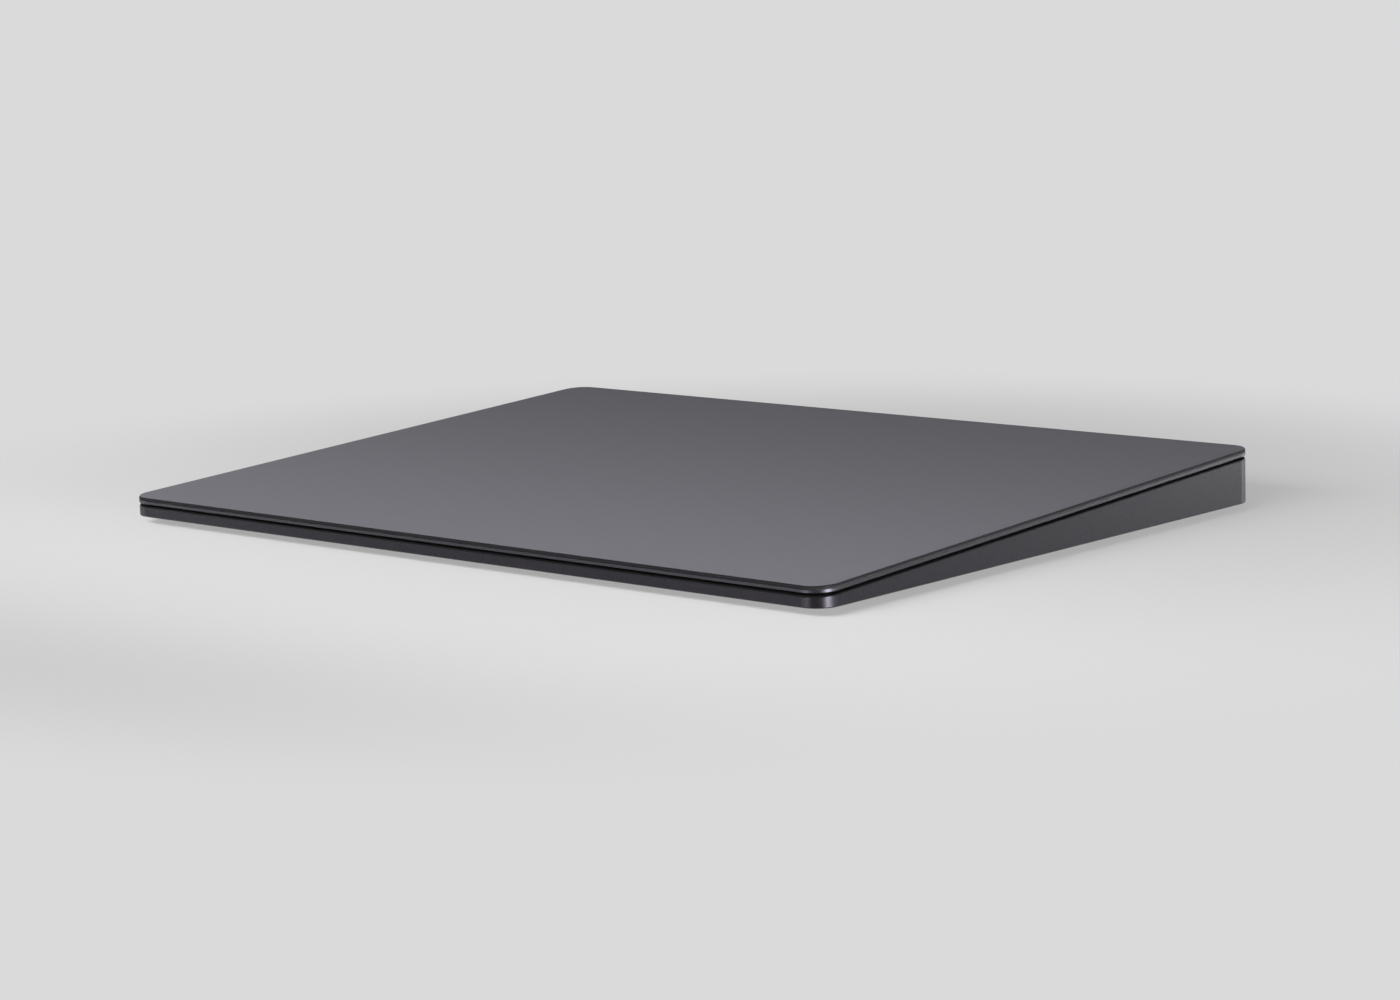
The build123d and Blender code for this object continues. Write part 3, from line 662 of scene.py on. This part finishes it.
def part_places():
    """Middles of the small parts on the logic board, row by row. Every fourth place stays free."""
    front = sum(corner.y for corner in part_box("battery_socket")) / 2
    rear = sum(corner.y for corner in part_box("processor_chip")) / 2
    rows = [(front, *ends) for ends in FRONT_PARTS]
    rows += [(rear, *ends) for ends in REAR_PARTS]
    for y, first, last in rows:
        count = int((last - first) / PART_PITCH) + 1
        for number in range(count):
            for line in (-1, 0, 1):
                if (number * 3 + line) % 4:
                    yield Vector(((first + number * PART_PITCH) * MM, y + line * PART_ROW * MM, 0))


def small_parts(materials):
    """Chip resistors and capacitors on the logic board, with their tinned ends."""
    base = Vector((0, 0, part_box("logic_board")[1].z))
    half = Vector((PART_LENGTH / 2, PART_WIDTH / 2, 0)) * MM
    height = Vector((0, 0, PART_HEIGHT)) * MM
    cap = Vector((PART_CAP, 0, 0)) * MM
    bodies, ends = bmesh.new(), bmesh.new()
    for spot in part_places():
        low = spot - half + base
        high = spot + half + base + height
        bevelled_block(bodies, low + cap, high - cap, PART_BEVEL * MM)
        bevelled_block(ends, low, Vector((low.x + cap.x, high.y, high.z)), CAP_BEVEL * MM)
        bevelled_block(ends, Vector((high.x - cap.x, low.y, low.z)), high, CAP_BEVEL * MM)
    linked("small_parts", finished(bodies, "small_parts"), materials, "chip_black", "case")
    linked("small_part_ends", finished(ends, "small_part_ends"), materials, "can_steel", "case")


def socket_pins(materials):
    """Gold feet along the front and rear of the board's three sockets and of its processor."""
    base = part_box("logic_board")[1].z
    shape = bmesh.new()
    for name in ("touch_socket_lower", "battery_socket", "haptic_socket", "processor_chip"):
        low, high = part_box(name)
        count = int((high.x - low.x) / (PIN_PITCH * MM)) - 1
        middle = (low.x + high.x) / 2
        for number in range(count):
            x = middle + (number - (count - 1) / 2) * PIN_PITCH * MM
            for edge, side in ((low.y, -1), (high.y, 1)):
                tip = edge + side * PIN_LENGTH * MM
                corner = Vector((x - PIN_WIDTH / 2 * MM, min(edge, tip), base))
                other = Vector((x + PIN_WIDTH / 2 * MM, max(edge, tip), base + PIN_HEIGHT * MM))
                bevelled_block(shape, corner, other, PIN_BEVEL * MM)
    linked("socket_pins", finished(shape, "socket_pins"), materials, "contact_gold", "case")


# Stage


def seen_directly(tree):
    """1 for camera, glossy and transmission rays, and 0 for the rays that carry soft light."""
    path = node(tree, "ShaderNodeLightPath").outputs
    total = path["Is Camera Ray"]
    for kind in ("Is Glossy Ray", "Is Transmission Ray"):
        total = arithmetic(tree, "MAXIMUM", total, path[kind])
    return total


def floor_paper():
    """Matte paper that keeps a soft shadow near the object and is evenly pale far from it."""
    made = grained("floor_paper", FLOOR_COLOR, change=0.01, roughness=(0.85, 0.9),
                   size=2 * MM, depth=0.01 * MM)
    tree = made.node_tree
    reach = node(tree, "ShaderNodeVectorMath", {0: object_place(tree)}, operation="LENGTH")
    far = ramp(tree, reach.outputs["Value"], PAPER_NEAR, PAPER_FAR, low=PAPER_GLOW,
               interpolation_type="SMOOTHSTEP")
    glow = node(tree, "ShaderNodeEmission", {"Color": (1, 1, 1, 1), "Strength": BACKGROUND})
    lay_over(tree, arithmetic(tree, "MULTIPLY", far, seen_directly(tree)), glow.outputs["Emission"])
    return made


def floor():
    """Plain pale floor, large enough to reach past the picture."""
    mesh = bpy.data.meshes.new("floor")
    shape = bmesh.new()
    bmesh.ops.create_circle(shape, cap_ends=True, segments=96, radius=FLOOR_RADIUS)
    shape.to_mesh(mesh)
    shape.free()
    mesh.materials.append(floor_paper())
    made = placed("floor", mesh)


def world():
    """Even surroundings: dim as a light, and as pale as the floor where they are seen."""
    made = bpy.data.worlds.new("surroundings")
    made.use_nodes = True
    tree = made.node_tree
    background = tree.nodes["Background"]
    background.inputs["Color"].default_value = (1, 1, 1, 1)
    level = ramp(tree, seen_directly(tree), start=0.0, end=1.0, low=AMBIENT, high=BACKGROUND)
    feed(tree, background.inputs["Strength"], level)
    bpy.context.scene.world = made


def softbox(name, place, aim, size, power, grid_angle=180):
    """Area lamp at a place in metres that faces another, behind a grid of that angle in degrees."""
    lamp = bpy.data.lights.new(name, "AREA")
    lamp.shape = "RECTANGLE"
    lamp.size, lamp.size_y = size
    lamp.energy = power
    lamp.spread = radians(grid_angle)
    made = placed(name, lamp)
    made.location = place
    made.rotation_mode = "QUATERNION"
    made.rotation_quaternion = (Vector(aim) - Vector(place)).to_track_quat("-Z", "Y")
    made.visible_camera = False


def lights():
    """Soft studio light: a long gridded box in front of the trackpad and low boxes round it."""
    softbox("front_box", place=(0, -0.2, 0.105), aim=(0, 0.01, 0), size=(0.7, 0.06), power=0.85,
            grid_angle=80)
    for name, azimuth, width, power in LOW_BOXES:
        turn = radians(azimuth)
        place = (sin(turn) * LOW_BOX_REACH, -cos(turn) * LOW_BOX_REACH, LOW_BOX_HEIGHT / 2)
        softbox(name, place, LOW_BOX_AIM, (width, LOW_BOX_HEIGHT), power)


def camera():
    """Camera from the photograph's fit: azimuth, elevation, roll, target, distance and lens."""
    azimuth, elevation, roll = radians(42.253), radians(9.350), radians(-1.804)
    target, distance = Vector((11.69, -8.36, 5.139)) * MM, 613.40 * MM
    back = Vector((sin(azimuth) * cos(elevation), -cos(azimuth) * cos(elevation), sin(elevation)))
    right = (-back).cross(Vector((0, 0, 1))).normalized()
    up = back.cross(right)
    turned_right = right * cos(roll) + up * sin(roll)
    turned_up = up * cos(roll) - right * sin(roll)
    data = bpy.data.cameras.new("camera")
    data.lens, data.sensor_width = 92.75, 36.0
    data.clip_start, data.clip_end = 0.01, 20
    made = placed("camera", data)
    turn = Matrix((turned_right, turned_up, back)).transposed()
    made.matrix_world = Matrix.Translation(target + back * distance) @ turn.to_4x4()
    bpy.context.scene.camera = made


slots = slot_materials()
dress_nodes(slots)
blade_springs(slots)
touch_ribbon(slots)
gel_cushions(slots)
coil_windings(slots)
small_parts(slots)
socket_pins(slots)
floor()
world()
lights()
camera()

bpy.context.scene.view_settings.view_transform = "Standard"
